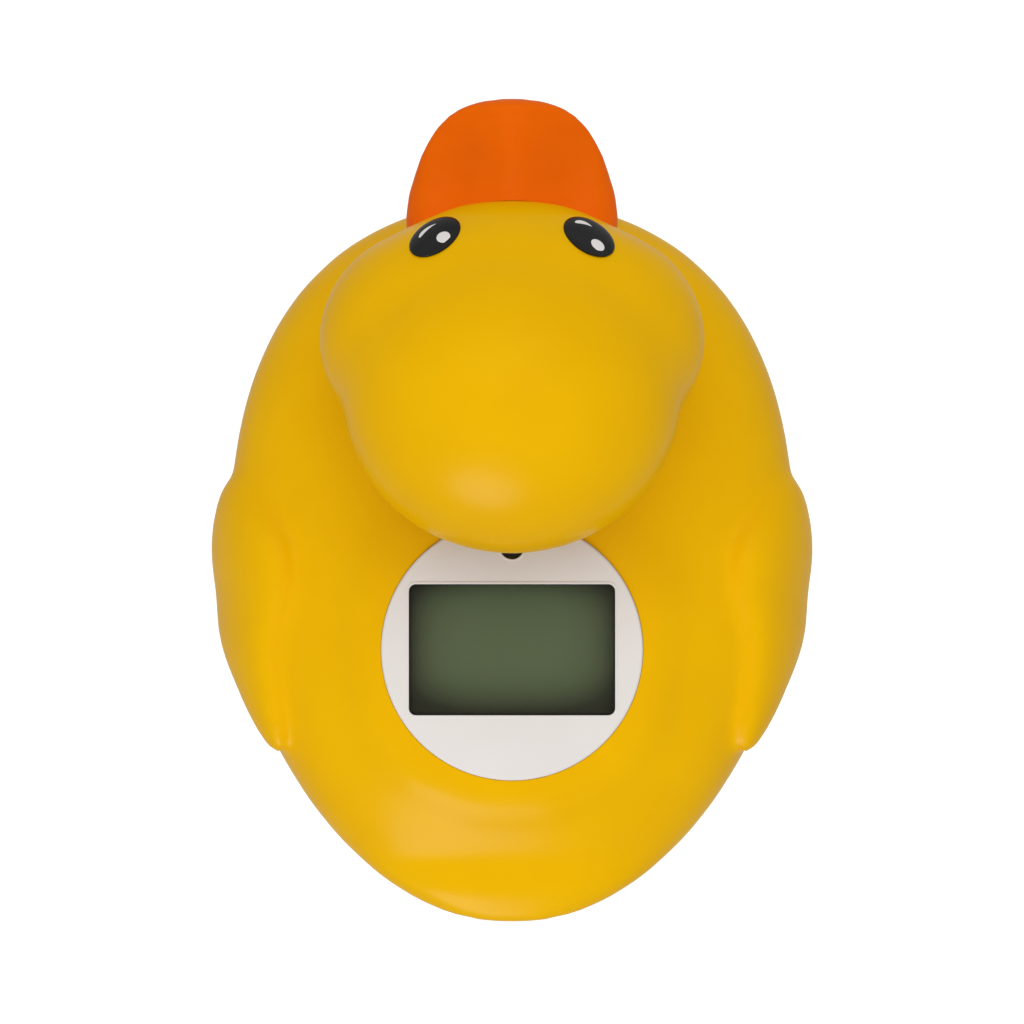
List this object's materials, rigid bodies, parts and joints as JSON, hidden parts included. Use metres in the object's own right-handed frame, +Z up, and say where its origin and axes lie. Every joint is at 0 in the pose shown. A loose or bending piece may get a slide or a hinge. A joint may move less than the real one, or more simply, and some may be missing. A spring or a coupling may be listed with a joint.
{
  "type": "baby bath thermometer",
  "caption": "Floating duck-shaped bath thermometer with a blank round display in its back, an orange bill, a battery bay and a probe in its hull.",
  "frame": {"origin": "middle of the footprint, at the height of the table", "axes": "+Z up, bill towards -Y, tail towards +Y, +X to the duck's left"},
  "size_m": [0.085, 0.1103, 0.0785],
  "materials": {
    "yellow_plastic": "smooth glossy moulded plastic",
    "orange_plastic": "smooth satin moulded plastic",
    "black_gloss": "glossy black",
    "white_plastic": "smooth white plastic",
    "clear_window": "clear polished window",
    "lcd_glass": "olive green display glass, blank",
    "black_rubber": "matt black rubber",
    "lead_jacket": "insulated wire",
    "board_green": "green solder mask",
    "black_resin": "cast black resin",
    "red_lens": "red tinted lens",
    "bright_steel": "bright stainless steel",
    "contact_brass": "plated contact strip"
  },
  "bodies": {
    "root": {"alarm_led": "red_lens", "battery_cell_1": "bright_steel", "battery_cell_2": "bright_steel", "battery_door": "yellow_plastic", "battery_lead_negative": "lead_jacket", "battery_lead_positive": "lead_jacket", "bill": "orange_plastic", "board_screw_1": "bright_steel", "board_screw_2": "bright_steel", "board_screw_3": "bright_steel", "board_screw_4": "bright_steel", "circuit_board": "board_green", "contact_link": "contact_brass", "contact_negative": "contact_brass", "contact_positive": "contact_brass", "controller_blob": "black_resin", "display_bezel": "white_plastic", "display_window": "clear_window", "door_screw": "bright_steel", "door_seal": "black_rubber", "head_shell": "yellow_plastic", "indicator_lens": "black_gloss", "lcd_frame": "white_plastic", "lcd_panel": "lcd_glass", "left_eye": "black_gloss", "lower_shell": "yellow_plastic", "pin_lead_left": "lead_jacket", "pin_lead_right": "lead_jacket", "probe_cap": "bright_steel", "probe_lead": "lead_jacket", "right_eye": "black_gloss", "shell_gasket": "black_rubber", "shell_screw_1": "bright_steel", "shell_screw_2": "bright_steel", "shell_screw_3": "bright_steel", "shell_screw_4": "bright_steel", "thermistor": "black_resin", "upper_shell": "yellow_plastic", "water_contact_left": "bright_steel", "water_contact_right": "bright_steel", "zebra_strip": "black_rubber"}
  },
  "joints": []
}
